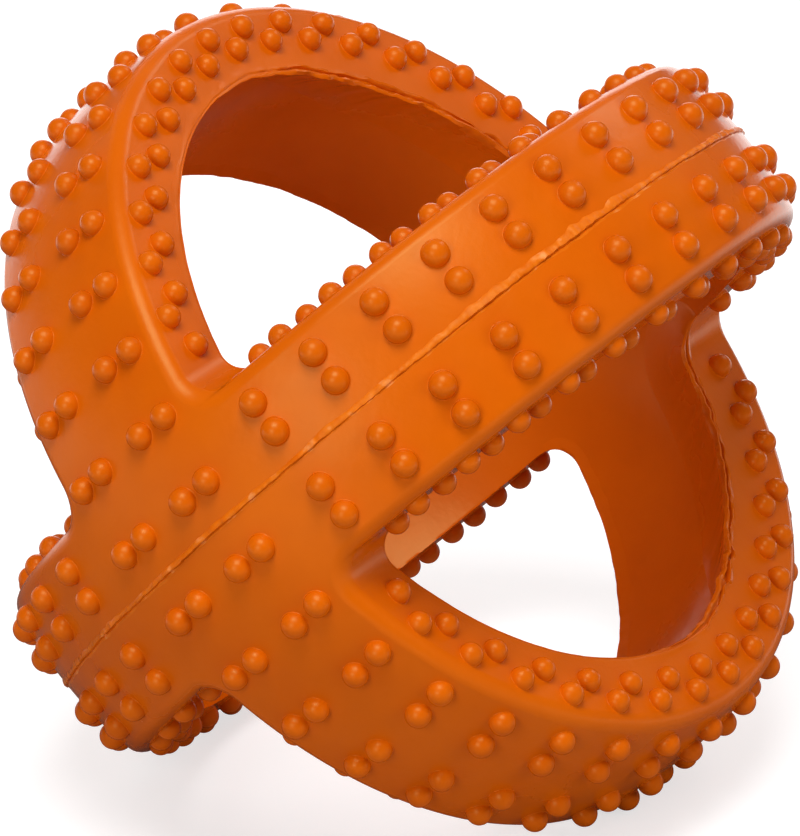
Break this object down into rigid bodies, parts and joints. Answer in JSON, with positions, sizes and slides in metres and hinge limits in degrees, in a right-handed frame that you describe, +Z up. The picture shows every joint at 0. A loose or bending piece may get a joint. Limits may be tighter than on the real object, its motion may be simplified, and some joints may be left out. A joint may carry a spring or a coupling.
{
  "type": "dog toy ball",
  "caption": "Hollow studded rubber dog ball: a spherical shell cut away to crossing bands with open windows between them.",
  "frame": {"origin": "on the ground under the middle of the ball, at the bottom centre of its box", "axes": "+Z up, Y through the two crossings of the bands, -Y to the front crossing; both bands lean 45 degrees, so windows open up, down, left and right"},
  "size_m": [0.0848, 0.1026, 0.0848],
  "materials": {
    "orange_rubber": "satin moulded rubber"
  },
  "bodies": {
    "root": {"seam_band_upper_half": "orange_rubber", "seam_band_lower_half": "orange_rubber", "arch_upper": "orange_rubber", "arch_lower": "orange_rubber", "seam_flash": "orange_rubber", "window_lip_top": "orange_rubber", "window_lip_left": "orange_rubber", "window_lip_right": "orange_rubber", "window_lip_bottom": "orange_rubber"}
  },
  "joints": []
}
